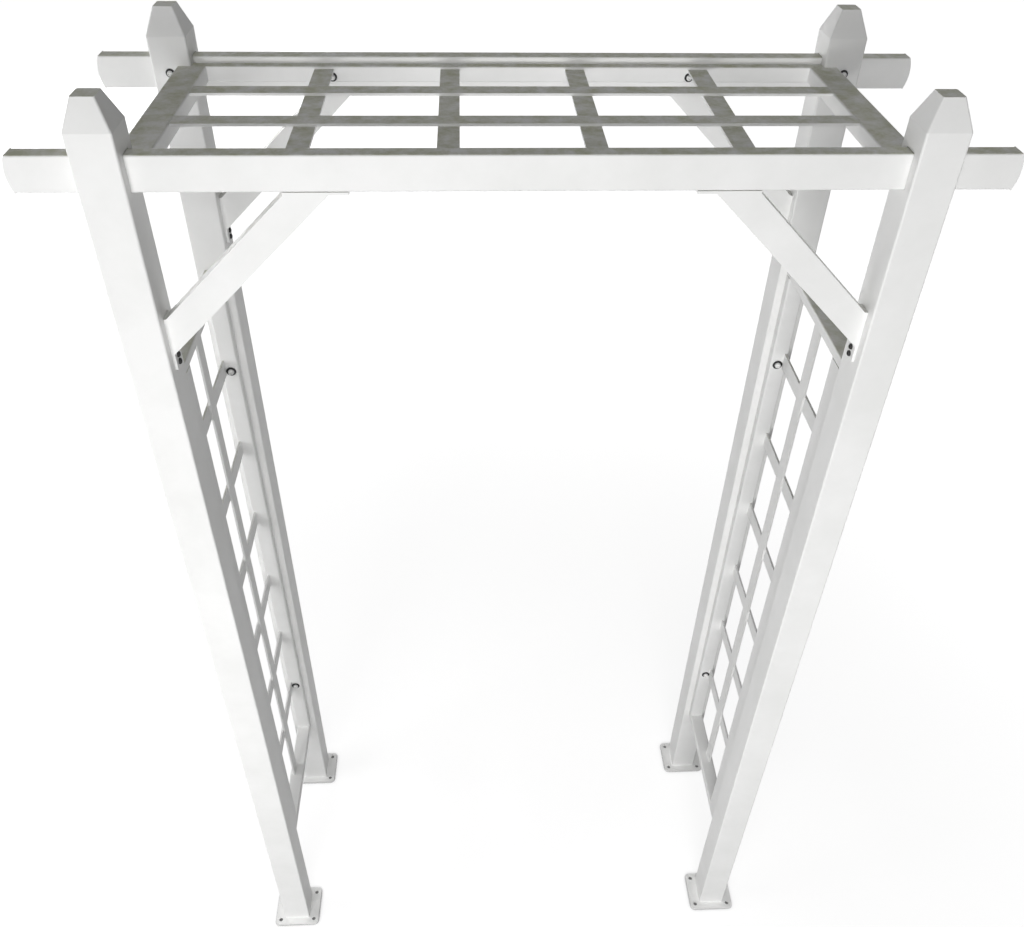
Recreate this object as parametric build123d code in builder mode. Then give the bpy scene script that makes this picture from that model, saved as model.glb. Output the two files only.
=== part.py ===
"""Garden arbor arch: tube posts, through beams, knee braces, a lattice top and two lattice sides.

Sizes are in millimetres. Z is up, X runs across the walkway and -Y faces the front.
The origin is on the ground, midway between the posts.
"""

import os
from math import atan2, degrees, sqrt

from build123d import *

# Whole arch
overall_height = 2090.0
post_pitch_x = 1060.0
post_pitch_y = 390.0
tube_corner = 3.0
tube_wall = 1.5
cut_overrun = 5.0

# Posts
post_side = 60.0
post_wall = 2.0
cap_height = 40.0
cap_top_side = 30.0
cap_plug_depth = 12.0

# Foot plates
plate_width = 105.0
plate_depth = 89.0
plate_thickness = 5.0
plate_corner = 8.0
anchor_edge = 11.5
anchor_hole_radius = 4.5

# Beams
beam_length = 1300.0
beam_height = 50.0
beam_thickness = 25.0
beam_drop = 74.0
beam_cap_thickness = 6.0
beam_cap_shoulder = 1.0
beam_cap_plug_depth = 12.0
slot_clearance = 0.8

# Knee braces
brace_height = 42.0
brace_reach = 222.0
brace_plate_thickness = 4.0
brace_tab_length = 26.0

# Top frame and its slats
top_frame_drop = 10.0
top_rail_height = 25.0
top_side_rail_width = 45.0
top_side_rail_inset = 23.0
slat_width = 30.0
slat_thickness = 4.0
top_long_slats = 2
top_cross_slats = 4

# Side panels
panel_bottom = 260.0
panel_top_gap = 318.0
panel_tube_width = 32.0
panel_tube_depth = 18.0
panel_front_upright = 62.0
panel_lattice_offset = 8.0
panel_slat_width = 32.0
panel_cross_slats = 6

# Sizes that follow from the ones above
half_pitch_x = post_pitch_x / 2
half_pitch_y = post_pitch_y / 2
clear_width = post_pitch_x - post_side
clear_depth = post_pitch_y - post_side
beam_top = overall_height - beam_drop
beam_bottom = beam_top - beam_height
beam_tube_length = beam_length - 2 * beam_cap_thickness
top_frame_top = beam_top - top_frame_drop
top_rail_depth = (post_side - beam_thickness) / 2
panel_top = beam_bottom - panel_top_gap

SIDES = {"left": -1, "right": 1}
ROWS = {"front": -1, "back": 1}
CORNERS = [(row, side) for row in ROWS for side in SIDES]

nodes = {}


def along_x(x, y, z):
    """A plane across a bar that runs along X: its own x is the row's Y, its own y is Z."""
    return Plane(origin=(x, y, z), x_dir=(0, 1, 0), z_dir=(1, 0, 0))


def along_y(x, y, z):
    """A plane across a bar that runs along Y: its own x is the row's X."""
    return Plane(origin=(x, y, z), x_dir=(1, 0, 0), z_dir=(0, 1, 0))


def box_tube(plane, width, depth, length, wall):
    """A rectangular tube with its middle on the plane, open at both ends."""
    with BuildPart() as tube:
        with BuildSketch(plane):
            RectangleRounded(width, depth, tube_corner)
            Rectangle(width - 2 * wall, depth - 2 * wall, mode=Mode.SUBTRACT)
        extrude(amount=length / 2, both=True)
    return tube


def even_centres(clear, bar, count):
    """Centres of bars that split a clear opening, itself centred on zero, into equal gaps."""
    gap = (clear - count * bar) / (count + 1)
    first = gap + bar / 2 - clear / 2
    return [first + index * (gap + bar) for index in range(count)]


# Posts: square tubes on the foot plates, with a slot through which the beam passes
post_length = overall_height - cap_height - plate_thickness
post_bore = post_side - 2 * post_wall
slot_height = beam_height + slot_clearance
slot_width = beam_thickness + 2 * slot_clearance

for row, side in CORNERS:
    x = SIDES[side] * half_pitch_x
    y = ROWS[row] * half_pitch_y
    with BuildPart() as post:
        with BuildSketch(Plane((x, y, plate_thickness))):
            RectangleRounded(post_side, post_side, tube_corner)
            Rectangle(post_bore, post_bore, mode=Mode.SUBTRACT)
        extrude(amount=post_length)
        with BuildSketch(along_x(x, y, beam_bottom + slot_height / 2)):
            RectangleRounded(slot_width, slot_height, tube_corner)
        extrude(amount=post_side / 2 + cut_overrun, both=True, mode=Mode.SUBTRACT)
    nodes[f"post_{row}_{side}"] = post


# Post caps: truncated pyramids, plugged into the tubes
cap_base = overall_height - cap_height
cap_taper = degrees(atan2(post_side - cap_top_side, 2 * cap_height))

for row, side in CORNERS:
    x = SIDES[side] * half_pitch_x
    y = ROWS[row] * half_pitch_y
    with BuildPart() as post_cap:
        with BuildSketch(Plane((x, y, cap_base))):
            Rectangle(post_side, post_side)
        extrude(amount=cap_height, taper=cap_taper)
        level_edges = edges().group_by(Axis.Z)
        sloping_edges = edges() - level_edges[0] - level_edges[-1]
        fillet(sloping_edges, radius=tube_corner)
        with BuildSketch(Plane((x, y, cap_base))):
            Rectangle(post_bore, post_bore)
        extrude(amount=-cap_plug_depth)
    nodes[f"post_cap_{row}_{side}"] = post_cap


# Foot plates: flat plates with an anchor hole near each corner
anchor_spacing_x = plate_width - 2 * anchor_edge
anchor_spacing_y = plate_depth - 2 * anchor_edge

for row, side in CORNERS:
    with BuildPart() as foot_plate:
        with BuildSketch(Plane((SIDES[side] * half_pitch_x, ROWS[row] * half_pitch_y, 0))):
            RectangleRounded(plate_width, plate_depth, plate_corner)
            with GridLocations(anchor_spacing_x, anchor_spacing_y, 2, 2):
                Circle(anchor_hole_radius, mode=Mode.SUBTRACT)
        extrude(amount=plate_thickness)
    nodes[f"foot_plate_{row}_{side}"] = foot_plate


# Beams: tubes through the post slots, front and back
beam_middle = (beam_top + beam_bottom) / 2

for row in ROWS:
    beam_plane = along_x(0, ROWS[row] * half_pitch_y, beam_middle)
    nodes[f"beam_{row}"] = box_tube(beam_plane, beam_thickness, beam_height, beam_tube_length, tube_wall)


# Beam end caps: plugs with a crown that is arched when seen from the front
crown_half = beam_height / 2
plug_width = beam_thickness - 2 * tube_wall
plug_height = beam_height - 2 * tube_wall

for row, side in CORNERS:
    end_x = SIDES[side] * beam_tube_length / 2
    y = ROWS[row] * half_pitch_y
    front_plane = Plane(origin=(end_x, y, beam_middle), x_dir=(SIDES[side], 0, 0), z_dir=(0, -1, 0))
    with BuildPart() as beam_cap:
        with BuildSketch(front_plane):
            with BuildLine():
                upper_shoulder = Line((0, crown_half), (beam_cap_shoulder, crown_half))
                lower_shoulder = Line((0, -crown_half), (beam_cap_shoulder, -crown_half))
                ThreePointArc(upper_shoulder @ 1, (beam_cap_thickness, 0), lower_shoulder @ 1)
                Line(upper_shoulder @ 0, lower_shoulder @ 0)
            make_face()
        extrude(amount=beam_thickness / 2, both=True)
        with BuildSketch(along_x(end_x, y, beam_middle)):
            Rectangle(plug_width, plug_height)
        extrude(amount=-SIDES[side] * beam_cap_plug_depth)
    nodes[f"beam_cap_{row}_{side}"] = beam_cap


# Knee braces: tubes at 45 degrees between the post plate and the beam plate
half_cut = brace_height / sqrt(2)
wall_cut = tube_wall * sqrt(2)
plate_reach = brace_reach - brace_plate_thickness
post_face = clear_width / 2
brace_post_x = post_face - brace_plate_thickness
brace_beam_z = beam_bottom - brace_plate_thickness


def brace_outline(side_sign, cut):
    """Corners of a brace in X and Z, for half the cut length at its mitred ends."""
    return [
        (side_sign * brace_post_x, beam_bottom - plate_reach + cut),
        (side_sign * (post_face - plate_reach + cut), brace_beam_z),
        (side_sign * (post_face - plate_reach - cut), brace_beam_z),
        (side_sign * brace_post_x, beam_bottom - plate_reach - cut),
    ]


for row, side in CORNERS:
    front_plane = Plane.XZ.offset(-ROWS[row] * half_pitch_y)
    with BuildPart() as brace:
        with BuildSketch(front_plane):
            Polygon(*brace_outline(SIDES[side], half_cut), align=None)
        extrude(amount=beam_thickness / 2, both=True)
        with BuildSketch(front_plane):
            Polygon(*brace_outline(SIDES[side], half_cut - wall_cut), align=None)
        extrude(amount=beam_thickness / 2 - tube_wall, both=True, mode=Mode.SUBTRACT)
    nodes[f"brace_{row}_{side}"] = brace


# Brace end plates: one on the post's inner face and one under the beam, each with a tab for its screws
end_plate_length = 2 * half_cut + brace_tab_length
end_plate_middle = plate_reach + brace_tab_length / 2

for row, side in CORNERS:
    y = ROWS[row] * half_pitch_y
    post_plate_x = SIDES[side] * (post_face - brace_plate_thickness / 2)
    beam_plate_x = SIDES[side] * (post_face - end_plate_middle)
    with BuildPart() as brace_plates:
        with Locations((post_plate_x, y, beam_bottom - end_plate_middle)):
            Box(brace_plate_thickness, beam_thickness, end_plate_length)
        with Locations((beam_plate_x, y, beam_bottom - brace_plate_thickness / 2)):
            Box(end_plate_length, beam_thickness, brace_plate_thickness)
    nodes[f"brace_plates_{row}_{side}"] = brace_plates


# Top frame: long rails against the beams and wide rails between the posts' facing sides
top_rail_middle = top_frame_top - top_rail_height / 2
side_rail_inner = clear_width / 2 - top_side_rail_inset

for row in ROWS:
    y = ROWS[row] * (half_pitch_y - beam_thickness / 2 - top_rail_depth / 2)
    nodes[f"top_rail_{row}"] = box_tube(
        along_x(0, y, top_rail_middle), top_rail_depth, top_rail_height, clear_width, tube_wall
    )

for side in SIDES:
    x = SIDES[side] * (side_rail_inner + top_side_rail_width / 2)
    nodes[f"top_rail_{side}"] = box_tube(
        along_y(x, 0, top_rail_middle), top_side_rail_width, top_rail_height, clear_depth, tube_wall
    )


# Top lattice: long slats laid over cross slats, welded where they meet
long_slat_middle = top_frame_top - slat_thickness / 2
cross_slat_middle = long_slat_middle - slat_thickness
top_clear_width = 2 * side_rail_inner

with BuildPart() as top_lattice:
    for y in even_centres(clear_depth, slat_width, top_long_slats):
        with Locations((0, y, long_slat_middle)):
            Box(top_clear_width, slat_width, slat_thickness)
    for x in even_centres(top_clear_width, slat_width, top_cross_slats):
        with Locations((x, 0, cross_slat_middle)):
            Box(slat_width, clear_depth, slat_thickness)
nodes["top_lattice"] = top_lattice


# Side panel frames: top and bottom rails between the posts, with uprights against the posts
panel_clear_bottom = panel_bottom + panel_tube_depth
panel_clear_top = panel_top - panel_tube_depth
panel_clear_front = panel_front_upright - clear_depth / 2
panel_clear_back = clear_depth / 2 - panel_tube_depth
panel_clear_height = panel_clear_top - panel_clear_bottom
panel_clear_depth = panel_clear_back - panel_clear_front
panel_middle_y = (panel_clear_front + panel_clear_back) / 2
panel_middle_z = (panel_clear_bottom + panel_clear_top) / 2
panel_rails = {"top": panel_top - panel_tube_depth / 2, "bottom": panel_bottom + panel_tube_depth / 2}
panel_uprights = {
    "front": (panel_clear_front - panel_front_upright / 2, panel_front_upright),
    "back": (panel_clear_back + panel_tube_depth / 2, panel_tube_depth),
}

for side in SIDES:
    x = SIDES[side] * half_pitch_x
    for level, z in panel_rails.items():
        nodes[f"panel_{side}_rail_{level}"] = box_tube(
            along_y(x, 0, z), panel_tube_width, panel_tube_depth, clear_depth, tube_wall
        )
    for row, (y, depth) in panel_uprights.items():
        nodes[f"panel_{side}_rail_{row}"] = box_tube(
            Plane((x, y, panel_middle_z)), panel_tube_width, depth, panel_clear_height, tube_wall
        )


# Side panel lattices: one upright slat on the walkway side of the level slats, welded where they meet
for side in SIDES:
    lattice_joint_x = half_pitch_x + panel_lattice_offset
    upright_slat_x = SIDES[side] * (lattice_joint_x - slat_thickness / 2)
    level_slat_x = SIDES[side] * (lattice_joint_x + slat_thickness / 2)
    with BuildPart() as panel_lattice:
        with Locations((upright_slat_x, panel_middle_y, panel_middle_z)):
            Box(slat_thickness, slat_width, panel_clear_height)
        for z in even_centres(panel_clear_height, panel_slat_width, panel_cross_slats):
            with Locations((level_slat_x, panel_middle_y, panel_middle_z + z)):
                Box(slat_thickness, panel_clear_depth, panel_slat_width)
    nodes[f"panel_{side}_lattice"] = panel_lattice


os.makedirs("parts", exist_ok=True)
for name, node in nodes.items():
    node.part.label = name
    export_step(node.part, f"parts/{name}.step")
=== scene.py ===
"""Garden arbor arch: coated finish, fasteners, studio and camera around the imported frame.

Lengths are in metres, in the frame's own axes: Z up, X across the walkway, -Y to the front.
"""

from math import cos, pi, radians, sin

import bmesh
import bpy
from mathutils import Matrix, Vector


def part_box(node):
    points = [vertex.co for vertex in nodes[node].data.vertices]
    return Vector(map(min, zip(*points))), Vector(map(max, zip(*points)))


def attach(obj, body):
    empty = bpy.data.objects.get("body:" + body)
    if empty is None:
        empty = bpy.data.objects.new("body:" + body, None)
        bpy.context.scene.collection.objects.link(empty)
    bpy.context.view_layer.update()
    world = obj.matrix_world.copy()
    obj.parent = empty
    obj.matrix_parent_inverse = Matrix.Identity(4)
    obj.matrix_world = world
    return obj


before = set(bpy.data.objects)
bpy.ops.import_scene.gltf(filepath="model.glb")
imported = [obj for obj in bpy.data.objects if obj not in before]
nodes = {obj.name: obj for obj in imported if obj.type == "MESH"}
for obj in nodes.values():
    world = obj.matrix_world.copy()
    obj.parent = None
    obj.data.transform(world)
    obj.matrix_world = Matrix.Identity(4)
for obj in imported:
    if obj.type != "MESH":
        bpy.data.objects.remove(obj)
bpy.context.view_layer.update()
scene = bpy.context.scene

# Camera, at the photograph's viewing angle
image_width = 1024
image_height = 927
focal_pixels = 942.8
principal_row = 420.0
camera_place = Vector((-0.0761, -1.3460, 2.4883))
camera_yaw = radians(3.30)
camera_pitch = radians(38.21)
camera_roll = radians(1.20)
sensor_width_mm = 36.0

# Powder coat: tones
white_light = (0.92, 0.92, 0.912, 1.0)
white_shade = (0.86, 0.862, 0.85, 1.0)
# Dust and painted shade: the olive grey laid on level faces high on the arch
dust_and_shade_colour = (0.43, 0.44, 0.25, 1.0)
# Painted shade for the creases and corners between parts
seam_shade_colour = (0.24, 0.245, 0.22, 1.0)
coat_ior = 1.5
coat_roughness = (0.40, 0.56)

# Powder coat: patches of tone, specks of dust and painted shade, painted shade in the seams and orange
# peel
patch_noise = {"Scale": 7.0, "Detail": 5.0, "Roughness": 0.6}
patch_range = (0.35, 0.65)
speck_noise = {"Scale": 38.0, "Detail": 7.0, "Roughness": 0.65}
speck_range = (0.34, 0.66)
# Dust and painted shade: its mottle, the faces it lies on and the heights over which it grows
thin_dust_and_shade_share = 0.15
upward_range = (0.6, 0.98)
dust_and_shade_heights = (0.9, 1.95)
# Painted shade in the seams: range of the occlusion and share of the darkening
seam_shade_range = (0.06, 0.40)
seam_shade_share = 0.75
peel_detail = 2.0
peel_strength = 0.35
occlusion_samples = 8

# Coats by material slot: name, scale and depth of the orange peel, share of dust and painted shade,
# reach of the painted seam shade
coat_values = {
    "tubes": ("tube_coat", 900.0, 0.0002, 0.8, 0.010),
    "slats": ("slat_coat", 1100.0, 0.00015, 0.8, 0.008),
    "plates": ("plate_coat", 800.0, 0.0002, 0.3, 0.014),
    "caps": ("cap_coat", 700.0, 0.00025, 0.8, 0.008),
}
bolt_coat_values = ("bolt_coat", 1200.0, 0.0001, 0.0, 0.002)

# Dark fasteners: worn tones, share of metal and range of roughness
steel_dark = (0.006, 0.006, 0.006, 1.0)
steel_worn = (0.022, 0.022, 0.021, 1.0)
steel_metal_share = 0.2
steel_roughness = (0.5, 0.7)
nylon_dark = (0.006, 0.006, 0.007, 1.0)
nylon_pale = (0.018, 0.018, 0.02, 1.0)
nylon_metal_share = 0.0
nylon_roughness = (0.6, 0.8)
wear_noise = {"Scale": 420.0, "Detail": 4.0}
wear_range = (0.35, 0.75)

# Fasteners: each ring of a profile is (share of the radius, share of the height, flat sides or none)
turn_steps = 24
smooth_angle = radians(38)
washer_radius = 0.0094
washer_thickness = 0.0016
bolt_radius = 0.0056
bolt_height = 0.0054
panel_bolt_x = 0.5283
panel_bolt_heights = (1.4395, 0.4585)
frame_washer_radius = 0.0070
frame_bolt_radius = 0.0042
post_bolt_x = 0.5335
post_bolt_height = 1.9955
rail_bolt_x = 0.283
rail_bolt_height = 1.990
screw_radius = 0.0047
screw_height = 0.0034
tab_screw_shares = (0.27, 0.73)
washer_profile = [(0.93, 0.0, 0), (1.0, 0.25, 0), (1.0, 0.75, 0), (0.93, 1.0, 0)]
dome_profile = [
    (0.96, 0.0, 0),
    (1.0, 0.08, 0),
    (1.0, 0.34, 0),
    (0.95, 0.58, 0),
    (0.84, 0.79, 0),
    (0.68, 0.94, 0),
    (0.56, 1.0, 0),
    (0.50, 0.98, 6),
    (0.46, 0.45, 6),
]

# Studio: the floor's glow and the world's fill
floor_half_side = 40.0
floor_colour = (0.3, 0.3, 0.3, 1.0)
# Painted contact shade on the floor: reach and range of its occlusion
contact_shade_reach = 0.02
contact_shade_range = (0.45, 0.9)
glow_reaches = (0.8, 3.0)
glow_levels = (0.82, 0.98)
fill_heights = (0.0, 0.7)
fill_levels = (0.06, 0.14)
white = (1.0, 1.0, 1.0, 1.0)

# Softboxes: name, place, target, width, height and power in watts
softboxes = [
    ("key", (-1.1, -7.3, 2.9), (0, 0, 1.8), 4.2, 4.2, 215.0),
    ("low_front", (-0.3, -2.3, 1.5), (0.25, 0.1, 0), 1.7, 0.4, 29.0),
    ("left_fill", (-2.6, -0.2, 1.7), (0.2, 0, 0), 1.5, 0.5, 23.0),
    ("right_fill", (4.2, 1.2, 1.1), (0, 0, 1.0), 3.0, 1.8, 20.0),
    ("rear_fill", (-3.0, 6.2, 1.2), (0, 0, 1.2), 4.5, 2.2, 150.0),
]

# Sockets of a mix of two colours
mix_share = 0
mix_under = 6
mix_over = 7
mix_result = 2


# Shader building blocks
def add_node(tree, kind, inputs=None, **properties):
    """A shader node with its socket values and its properties."""
    node = tree.nodes.new(kind)
    for socket, value in (inputs or {}).items():
        node.inputs[socket].default_value = value
    for name, value in properties.items():
        setattr(node, name, value)
    return node


def link(tree, source, output, target, socket):
    tree.links.new(source.outputs[output], target.inputs[socket])


def grey(value):
    return (value, value, value, 1.0)


def ramp(tree, positions, colours):
    """A colour ramp between two stops."""
    node = add_node(tree, "ShaderNodeValToRGB")
    for element, position, colour in zip(node.color_ramp.elements, positions, colours):
        element.position = position
        element.color = colour
    return node


def rescale(tree, source=(0.0, 1.0), target=(0.0, 1.0), **properties):
    """A node that maps one range of values to another."""
    inputs = {"From Min": source[0], "From Max": source[1], "To Min": target[0], "To Max": target[1]}
    return add_node(tree, "ShaderNodeMapRange", inputs, **properties)


def combine(tree, operation, first, first_output, second, second_output):
    """A node that works out one value from two others."""
    node = add_node(tree, "ShaderNodeMath", operation=operation)
    link(tree, first, first_output, node, 0)
    link(tree, second, second_output, node, 1)
    return node


def overlay(tree, under, under_output, colour, share, share_output):
    """A colour laid over another by a share."""
    node = add_node(tree, "ShaderNodeMix", {mix_over: colour}, data_type="RGBA")
    link(tree, share, share_output, node, mix_share)
    link(tree, under, under_output, node, mix_under)
    return node


def noise(tree, place, values):
    """A noise fixed to the object."""
    node = add_node(tree, "ShaderNodeTexNoise", values)
    link(tree, place, "Object", node, "Vector")
    return node


def height_of(tree, source, output):
    """The Z part of a vector."""
    node = add_node(tree, "ShaderNodeSeparateXYZ")
    link(tree, source, output, node, "Vector")
    return node


def empty_material(name):
    material = bpy.data.materials.new(name)
    material.use_nodes = True
    material.node_tree.nodes.clear()
    return material


# Powder coat: slightly uneven white with orange peel, dust and painted shade on level faces high up, and
# painted shade in the seams
def powder_coat(name, peel_scale, peel_depth, dust_and_shade_share, seam_shade_reach):
    material = empty_material(name)
    tree = material.node_tree
    surface = add_node(tree, "ShaderNodeBsdfPrincipled", {"IOR": coat_ior})
    output = add_node(tree, "ShaderNodeOutputMaterial")
    place = add_node(tree, "ShaderNodeTexCoord")

    patches = noise(tree, place, patch_noise)
    tone = ramp(tree, patch_range, (white_shade, white_light))
    link(tree, patches, "Fac", tone, "Fac")

    # Dust and painted shade: level faces are darkened towards an olive grey, more the higher they stand
    facing = add_node(tree, "ShaderNodeNewGeometry")
    upward = rescale(tree, upward_range)
    link(tree, height_of(tree, facing, "Normal"), "Z", upward, "Value")
    specks = noise(tree, place, speck_noise)
    mottle = ramp(tree, speck_range, (grey(thin_dust_and_shade_share), white))
    link(tree, specks, "Fac", mottle, "Fac")
    higher_up = rescale(tree, dust_and_shade_heights, (0.0, dust_and_shade_share))
    link(tree, height_of(tree, place, "Object"), "Z", higher_up, "Value")
    upward_mottle = combine(tree, "MULTIPLY", upward, "Result", mottle, "Color")
    upward_mottle_share = combine(tree, "MULTIPLY", upward_mottle, "Value", higher_up, "Result")
    dusty_and_shaded = overlay(tree, tone, "Color", dust_and_shade_colour, upward_mottle_share, "Value")

    # Painted shade: the coat is darkened towards the seam colour in creases and corners, by ambient
    # occlusion
    corner = add_node(
        tree, "ShaderNodeAmbientOcclusion", {"Distance": seam_shade_reach}, samples=occlusion_samples
    )
    seam_shade = ramp(tree, seam_shade_range, (grey(seam_shade_share), grey(0.0)))
    link(tree, corner, "AO", seam_shade, "Fac")
    seam_shaded = overlay(tree, dusty_and_shaded, mix_result, seam_shade_colour, seam_shade, "Color")
    link(tree, seam_shaded, mix_result, surface, "Base Color")

    gloss = rescale(tree, target=coat_roughness)
    link(tree, specks, "Fac", gloss, "Value")
    link(tree, gloss, "Result", surface, "Roughness")

    peel = noise(tree, place, {"Scale": peel_scale, "Detail": peel_detail})
    relief = add_node(tree, "ShaderNodeBump", {"Strength": peel_strength, "Distance": peel_depth})
    link(tree, peel, "Fac", relief, "Height")
    link(tree, relief, "Normal", surface, "Normal")
    link(tree, surface, "BSDF", output, "Surface")
    return material


# Dark fastener finish, with worn paler patches
def dark_finish(name, dark, worn, metal_share, roughness):
    material = empty_material(name)
    tree = material.node_tree
    surface = add_node(tree, "ShaderNodeBsdfPrincipled", {"Metallic": metal_share})
    output = add_node(tree, "ShaderNodeOutputMaterial")
    place = add_node(tree, "ShaderNodeTexCoord")
    wear = noise(tree, place, wear_noise)
    tone = ramp(tree, wear_range, (dark, worn))
    gloss = rescale(tree, target=roughness)
    link(tree, wear, "Fac", tone, "Fac")
    link(tree, tone, "Color", surface, "Base Color")
    link(tree, wear, "Fac", gloss, "Value")
    link(tree, gloss, "Result", surface, "Roughness")
    link(tree, surface, "BSDF", output, "Surface")
    return material


coats = {slot: powder_coat(*values) for slot, values in coat_values.items()}
bolt_coat = powder_coat(*bolt_coat_values)
screw_steel = dark_finish("screw_steel", steel_dark, steel_worn, steel_metal_share, steel_roughness)
washer_nylon = dark_finish("washer_nylon", nylon_dark, nylon_pale, nylon_metal_share, nylon_roughness)

for piece in nodes.values():
    for material_slot in piece.material_slots:
        material_slot.material = coats[material_slot.material.name]


# Fasteners: domed bolts on dark washers at the panels and the top frame, dark screws in the braces' tabs
def add_turned(mesh, profile, radius, height, place, axis):
    """A closed turned form that stands at a place along an axis, its rings scaled from a profile."""
    turn = Vector((0, 0, 1)).rotation_difference(axis).to_matrix()
    rings = []
    for radius_share, height_share, flat_sides in profile:
        ring = []
        for step in range(turn_steps):
            angle = 2 * pi * step / turn_steps
            reach = radius * radius_share
            if flat_sides:
                half_sector = pi / flat_sides
                reach *= cos(half_sector) / cos(angle % (2 * half_sector) - half_sector)
            corner = Vector((reach * cos(angle), reach * sin(angle), height * height_share))
            ring.append(mesh.verts.new(place + turn @ corner))
        rings.append(ring)
    for lower, upper in zip(rings, rings[1:]):
        for step in range(turn_steps):
            after = (step + 1) % turn_steps
            mesh.faces.new((lower[step], lower[after], upper[after], upper[step]))
    mesh.faces.new(reversed(rings[0]))
    mesh.faces.new(rings[-1])


def make_fasteners(name, profile, radius, height, spots, coat):
    """One piece with a like fastener at each (place, axis) spot."""
    mesh = bmesh.new()
    for place, axis in spots:
        add_turned(mesh, profile, radius, height, place, axis)
    data = bpy.data.meshes.new(name)
    mesh.to_mesh(data)
    mesh.free()
    data.materials.append(coat)
    data.shade_smooth()
    data.set_sharp_from_angle(angle=smooth_angle)
    piece = bpy.data.objects.new(name, data)
    scene.collection.objects.link(piece)
    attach(piece, "root")


def make_washer_bolts(name, ring_radius, head_radius, spots):
    """Dark washers against a face, with a domed head on each."""
    raised = [(place + axis * washer_thickness, axis) for place, axis in spots]
    make_fasteners(
        f"{name}_washers", washer_profile, ring_radius, washer_thickness, spots, washer_nylon
    )
    make_fasteners(f"{name}_heads", dome_profile, head_radius, bolt_height, raised, bolt_coat)


def inner_face(node, row):
    """The level in Y of a node's face towards the middle of the arch."""
    low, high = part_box(node)
    return high[1] if row == "front" else low[1]


def tab_screw_spots(row, side, side_sign):
    """The screws in the tab below a brace's foot and in the tab past its upper end."""
    brace_low, brace_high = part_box(f"brace_{row}_{side}")
    plates_low, plates_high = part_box(f"brace_plates_{row}_{side}")
    middle = (brace_low[1] + brace_high[1]) / 2
    post_face = brace_low[0] if side == "left" else brace_high[0]
    tab_end = plates_high[0] if side == "left" else plates_low[0]
    tab_length = brace_low[2] - plates_low[2]
    spots = []
    for share in tab_screw_shares:
        from_end = share * tab_length
        on_post = Vector((post_face, middle, plates_low[2] + from_end))
        under_beam = Vector((tab_end + side_sign * from_end, middle, brace_high[2]))
        spots.append((on_post, Vector((-side_sign, 0, 0))))
        spots.append((under_beam, Vector((0, 0, -1))))
    return spots


sides = {"left": -1, "right": 1}
rows = {"front": 1, "back": -1}
for side, side_sign in sides.items():
    panel_spots = []
    frame_spots = []
    tab_spots = []
    for row, inward in rows.items():
        axis = Vector((0, inward, 0))
        face = inner_face(f"panel_{side}_rail_{row}", row)
        for bolt_level in panel_bolt_heights:
            panel_spots.append((Vector((side_sign * panel_bolt_x, face, bolt_level)), axis))
        face = inner_face(f"post_{row}_{side}", row)
        frame_spots.append((Vector((side_sign * post_bolt_x, face, post_bolt_height)), axis))
        face = inner_face(f"top_rail_{row}", row)
        frame_spots.append((Vector((side_sign * rail_bolt_x, face, rail_bolt_height)), axis))
        tab_spots += tab_screw_spots(row, side, side_sign)
    make_washer_bolts(f"panel_{side}_bolt", washer_radius, bolt_radius, panel_spots)
    make_washer_bolts(f"top_frame_{side}_bolt", frame_washer_radius, frame_bolt_radius, frame_spots)
    make_fasteners(
        f"brace_{side}_screws", dome_profile, screw_radius, screw_height, tab_spots, screw_steel
    )


# Studio: pale floor, white backdrop with a dim fill, and softboxes around the arch
def shown_directly(tree):
    """One where the camera, a reflection or a see-through ray looks, and zero for the light itself."""
    path = add_node(tree, "ShaderNodeLightPath")
    mirrored = combine(tree, "MAXIMUM", path, "Is Camera Ray", path, "Is Glossy Ray")
    return combine(tree, "MAXIMUM", mirrored, "Value", path, "Is Transmission Ray")


def floor_material():
    """A matt floor that is looked at as white, apart from shadows and the painted contact shade around
    and under the pieces that stand on it.
    """
    material = empty_material("pale_floor")
    tree = material.node_tree
    output = add_node(tree, "ShaderNodeOutputMaterial")
    matt = add_node(tree, "ShaderNodeBsdfDiffuse", {"Color": floor_colour})
    glow = add_node(tree, "ShaderNodeEmission", {"Color": white})
    both = add_node(tree, "ShaderNodeAddShader")

    place = add_node(tree, "ShaderNodeTexCoord")
    reach = add_node(tree, "ShaderNodeVectorMath", operation="LENGTH")
    level = rescale(tree, glow_reaches, glow_levels, interpolation_type="SMOOTHSTEP")
    link(tree, place, "Object", reach, 0)
    link(tree, reach, "Value", level, "Value")

    # Painted contact shade: the glow is taken away next to the pieces and in their holes, by ambient
    # occlusion
    corner = add_node(
        tree, "ShaderNodeAmbientOcclusion", {"Distance": contact_shade_reach}, samples=occlusion_samples
    )
    contact_shade = ramp(tree, contact_shade_range, (grey(0.0), white))
    link(tree, corner, "AO", contact_shade, "Fac")

    strength = combine(tree, "MULTIPLY", shown_directly(tree), "Value", level, "Result")
    open_glow = combine(tree, "MULTIPLY", strength, "Value", contact_shade, "Color")
    link(tree, open_glow, "Value", glow, "Strength")
    link(tree, matt, "BSDF", both, 0)
    link(tree, glow, "Emission", both, 1)
    link(tree, both, "Shader", output, "Surface")
    return material


def make_floor():
    mesh = bpy.data.meshes.new("floor")
    corners = [
        (-floor_half_side, -floor_half_side, 0),
        (floor_half_side, -floor_half_side, 0),
        (floor_half_side, floor_half_side, 0),
        (-floor_half_side, floor_half_side, 0),
    ]
    mesh.from_pydata(corners, [], [(0, 1, 2, 3)])
    mesh.materials.append(floor_material())
    floor = bpy.data.objects.new("floor", mesh)
    scene.collection.objects.link(floor)


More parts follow.
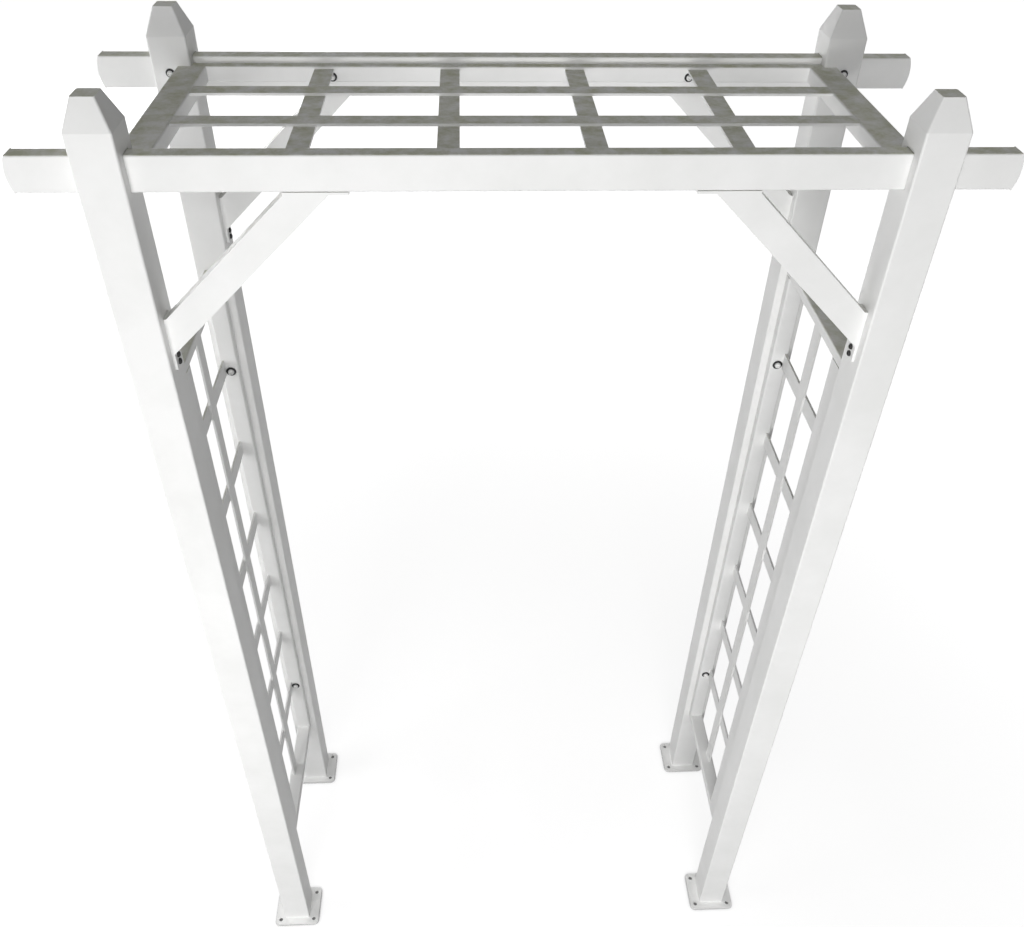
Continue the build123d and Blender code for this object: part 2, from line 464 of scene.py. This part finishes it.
def make_world():
    """White where it is looked at, and as light a dim fill that grows overhead."""
    world = bpy.data.worlds.new("studio")
    scene.world = world
    world.use_nodes = True
    tree = world.node_tree
    tree.nodes.clear()
    output = add_node(tree, "ShaderNodeOutputWorld")
    direction = add_node(tree, "ShaderNodeTexCoord")
    level = rescale(tree, fill_heights, fill_levels)
    light = add_node(tree, "ShaderNodeBackground", {"Color": white})
    backdrop = add_node(tree, "ShaderNodeBackground", {"Color": white, "Strength": 1.0})
    choice = add_node(tree, "ShaderNodeMixShader")
    link(tree, height_of(tree, direction, "Generated"), "Z", level, "Value")
    link(tree, level, "Result", light, "Strength")
    link(tree, shown_directly(tree), "Value", choice, "Fac")
    link(tree, light, "Background", choice, 1)
    link(tree, backdrop, "Background", choice, 2)
    link(tree, choice, "Shader", output, "Surface")


def make_softbox(name, place, target, width, height, power):
    """A rectangular lamp that faces a target, hidden from the camera."""
    data = bpy.data.lights.new(name, "AREA")
    data.shape = "RECTANGLE"
    data.size = width
    data.size_y = height
    data.energy = power
    lamp = bpy.data.objects.new(name, data)
    scene.collection.objects.link(lamp)
    lamp.location = place
    towards = Vector(target) - Vector(place)
    lamp.rotation_euler = towards.to_track_quat("-Z", "Y").to_euler()
    lamp.visible_camera = False


def make_camera():
    data = bpy.data.cameras.new("photo_view")
    data.sensor_width = sensor_width_mm
    data.lens = focal_pixels / image_width * sensor_width_mm
    data.shift_y = (principal_row - image_height / 2) / image_width
    camera = bpy.data.objects.new("photo_view", data)
    scene.collection.objects.link(camera)
    ahead = Vector((sin(camera_yaw), cos(camera_yaw), 0.0))
    forward = ahead * cos(camera_pitch) - Vector((0.0, 0.0, sin(camera_pitch)))
    level = Vector((cos(camera_yaw), -sin(camera_yaw), 0.0))
    upright = level.cross(forward)
    right = level * cos(camera_roll) + upright * sin(camera_roll)
    up = upright * cos(camera_roll) - level * sin(camera_roll)
    turn = Matrix((right, up, -forward)).transposed().to_4x4()
    camera.matrix_world = Matrix.Translation(camera_place) @ turn
    scene.camera = camera


for leftover in ("Camera", "Light", "Cube"):
    if leftover in bpy.data.objects:
        bpy.data.objects.remove(bpy.data.objects[leftover])

make_floor()
make_world()
for softbox in softboxes:
    make_softbox(*softbox)
make_camera()
scene.view_settings.view_transform = "Standard"
